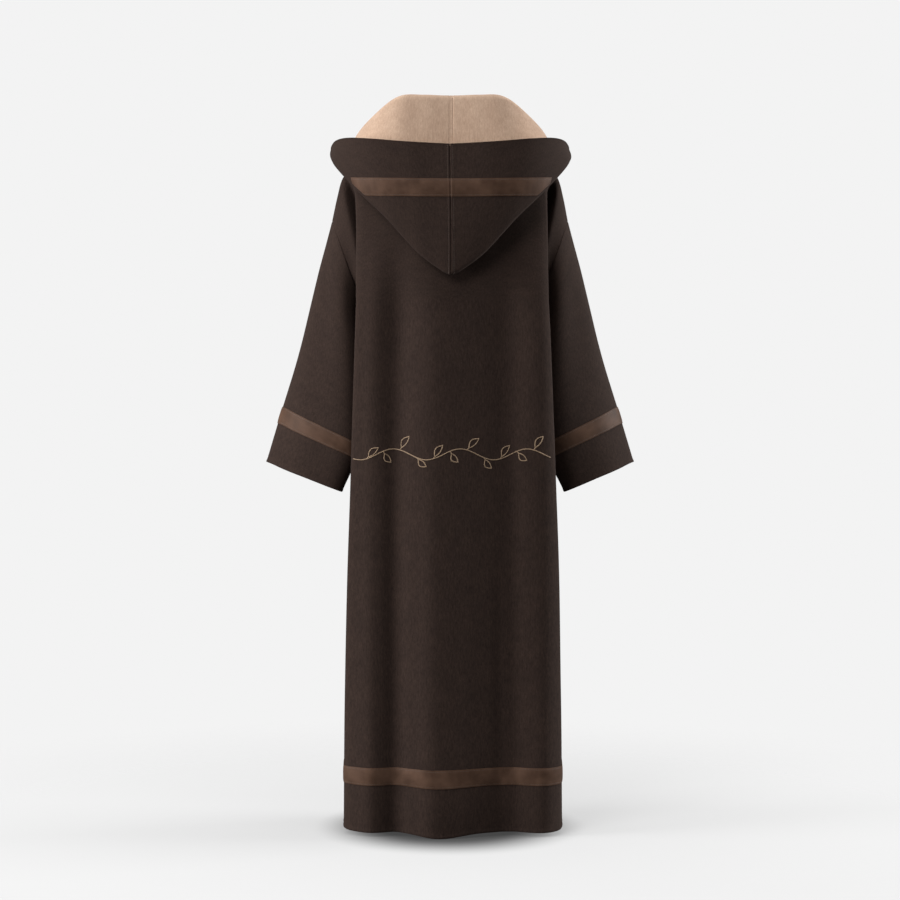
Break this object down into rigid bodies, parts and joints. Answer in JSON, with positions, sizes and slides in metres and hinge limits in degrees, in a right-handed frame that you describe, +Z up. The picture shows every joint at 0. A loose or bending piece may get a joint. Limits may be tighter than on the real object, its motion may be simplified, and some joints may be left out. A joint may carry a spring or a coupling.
{
  "type": "lined hooded robe",
  "caption": "Long open-fronted wool robe with wide straight sleeves, a lined hood worn down on the back and a trim band on hood, cuffs and hem.",
  "frame": {"origin": "base of the neck, midway between the high points of the shoulders, where the wearer holds the robe up", "axes": "+Z up, +Y the way the wearer faces, +X towards the wearer's right"},
  "size_m": [0.782, 0.3512, 1.5159],
  "materials": {
    "wool": "very dark brown brushed wool, matt with a short nap",
    "trim": "medium brown smooth leather-like band with a soft gloss",
    "lining": "pale beige short-napped lining"
  },
  "bodies": {
    "root": {"back": "wool", "front_right": "wool", "front_left": "wool", "sleeve_left": "wool", "sleeve_right": "wool", "hood_left": "wool", "hood_right": "wool", "hem_band_back": "trim", "hem_band_front_right": "trim", "hem_band_front_left": "trim", "cuff_band_left": "trim", "cuff_band_right": "trim", "hood_band_left": "trim", "hood_band_right": "trim", "hood_lining_left": "lining", "hood_lining_right": "lining"}
  },
  "joints": []
}
